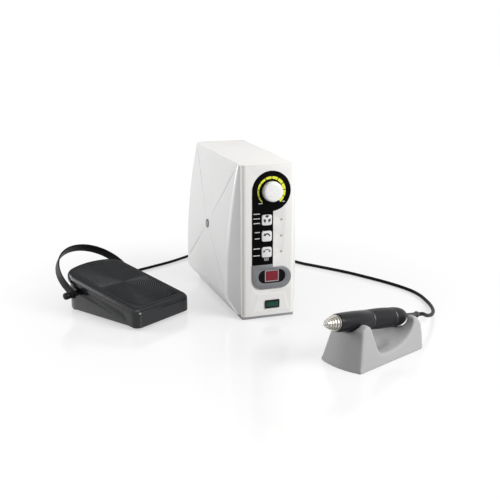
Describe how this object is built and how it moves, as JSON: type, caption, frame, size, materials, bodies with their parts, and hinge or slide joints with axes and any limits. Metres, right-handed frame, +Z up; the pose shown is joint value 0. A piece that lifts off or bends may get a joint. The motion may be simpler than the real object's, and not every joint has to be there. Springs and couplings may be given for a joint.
{
  "type": "dental micromotor",
  "caption": "Upright control unit with dial, keys and display, a motor handpiece on a cradle stand and a sprung foot pedal with a carrying bail, joined by cords.",
  "frame": {"origin": "on the table, under the middle of the control unit's base", "axes": "+Z up; the unit's front faces -Y; +X to the right of someone facing the front"},
  "size_m": [0.5685, 0.6166, 0.2402],
  "materials": {
    "white_shell": "semi-gloss",
    "grey_shell": "semi-gloss",
    "dark_tray": "matte",
    "badge_grey": "satin",
    "screw_steel": "satin",
    "black_label": "gloss",
    "frame_grey": "satin",
    "dark_lens": "gloss",
    "red_display": "gloss",
    "lamp_clear": "gloss",
    "knob_pearl": "pearl",
    "shaft_steel": "satin",
    "button_white": "semi-gloss",
    "rocker_green": "gloss",
    "switch_black": "satin",
    "board_green": "satin",
    "transformer_steel": "varnished",
    "inlet_black": "satin",
    "socket_nickel": "polished",
    "tool_steel": "bright",
    "nose_nickel": "bright",
    "grip_black": "gloss",
    "ring_steel": "satin",
    "motor_black": "satin",
    "winding_copper": "varnished",
    "boot_rubber": "matte",
    "stand_grey": "satin",
    "pedal_charcoal": "satin",
    "bail_black": "gloss",
    "foot_rubber": "matte",
    "spring_steel": "satin",
    "cord_black": "satin",
    "plug_grey": "satin",
    "tie_black": "matte"
  },
  "bodies": {
    "set": {"front_bezel": "white_shell", "top_cover": "white_shell", "left_side_panel": "grey_shell", "right_side_panel": "grey_shell", "rear_panel": "white_shell", "base_tray": "dark_tray", "side_badges": "badge_grey", "case_screws": "screw_steel", "control_overlay": "black_label", "display_bezel": "frame_grey", "display_window": "dark_lens", "display_module": "red_display", "indicator_leds": "lamp_clear", "rocker_housing": "switch_black", "front_board": "board_green", "main_board": "board_green", "transformer": "transformer_steel", "mains_inlet": "inlet_black", "handpiece_socket": "socket_nickel", "pedal_socket": "socket_nickel", "handpiece_stand": "stand_grey", "pedal_base": "pedal_charcoal", "treadle_pin": "shaft_steel", "treadle_springs": "spring_steel", "pedal_sensor": "board_green", "pedal_feet": "foot_rubber", "bail_knobs": "bail_black", "pedal_gland": "boot_rubber", "handpiece_cord": "cord_black", "handpiece_cord_coil": "cord_black", "handpiece_cord_lead": "cord_black", "handpiece_plug": "plug_grey", "pedal_cord": "cord_black", "pedal_cord_coil": "cord_black", "pedal_cord_lead": "cord_black", "pedal_plug": "plug_grey", "cord_ties": "tie_black"},
    "speed_dial": {"speed_knob": "knob_pearl", "knob_shaft": "shaft_steel"},
    "upper_key": {"upper_button": "button_white"},
    "middle_key": {"middle_button": "button_white"},
    "lower_key": {"lower_button": "button_white"},
    "power_switch": {"power_rocker": "rocker_green"},
    "treadle": {"pedal_treadle": "pedal_charcoal"},
    "bail": {"pedal_bail": "bail_black"},
    "handpiece": {"nose_cone": "nose_nickel", "front_ring": "ring_steel", "motor_housing": "motor_black", "rear_ring": "ring_steel", "rear_cap": "motor_black", "stator": "winding_copper", "spindle_bearings": "shaft_steel", "strain_relief": "boot_rubber"},
    "grip": {"grip_sleeve": "grip_black"},
    "turning_group": {"bur": "tool_steel", "collet": "tool_steel", "spindle": "tool_steel"}
  },
  "joints": [
    {"name": "speed_dial_turn", "type": "hinge", "parent": "set", "child": "speed_dial", "pos_m": [0.004, -0.12, 0.1945], "axis": [0, 1, 0], "range_deg": [-135, 135]},
    {"name": "upper_key_press", "type": "slide", "parent": "set", "child": "upper_key", "axis": [0, 1, 0], "range_m": [0, 0.0012], "stiffness_N_per_m": 600, "springref_m": -0.0008},
    {"name": "middle_key_press", "type": "slide", "parent": "set", "child": "middle_key", "axis": [0, 1, 0], "range_m": [0, 0.0012], "stiffness_N_per_m": 600, "springref_m": -0.0008},
    {"name": "lower_key_press", "type": "slide", "parent": "set", "child": "lower_key", "axis": [0, 1, 0], "range_m": [0, 0.0012], "stiffness_N_per_m": 600, "springref_m": -0.0008},
    {"name": "power_switch_rock", "type": "hinge", "parent": "set", "child": "power_switch", "pos_m": [0.0061, -0.119, 0.0215], "axis": [0, 0, 1], "range_deg": [0, 12]},
    {"name": "treadle_press", "type": "hinge", "parent": "set", "child": "treadle", "pos_m": [-0.15781, -0.07504, 0.012], "axis": [-0.8387, -0.5446, 0], "range_deg": [0, 3], "stiffness_Nm_per_rad": 6, "springref_deg": -6.88, "deforming": ["treadle_springs"]},
    {"name": "bail_swing", "type": "hinge", "parent": "set", "child": "bail", "pos_m": [-0.22453, 0.0277, 0.0315], "axis": [0.8387, 0.5446, 0], "range_deg": [0, 115]},
    {"name": "handpiece_lift", "type": "slide", "parent": "set", "child": "handpiece", "axis": [0, 0, 1], "range_m": [0, 0.08]},
    {"name": "grip_twist", "type": "hinge", "parent": "handpiece", "child": "grip", "pos_m": [0.01185, -0.33022, 0.063], "axis": [0.9061, 0.3865, -0.1719], "range_deg": [0, 45]},
    {"name": "spindle_turn", "type": "hinge", "parent": "handpiece", "child": "turning_group", "pos_m": [0.01185, -0.33022, 0.063], "axis": [0.9061, 0.3865, -0.1719], "continuous": true}
  ]
}
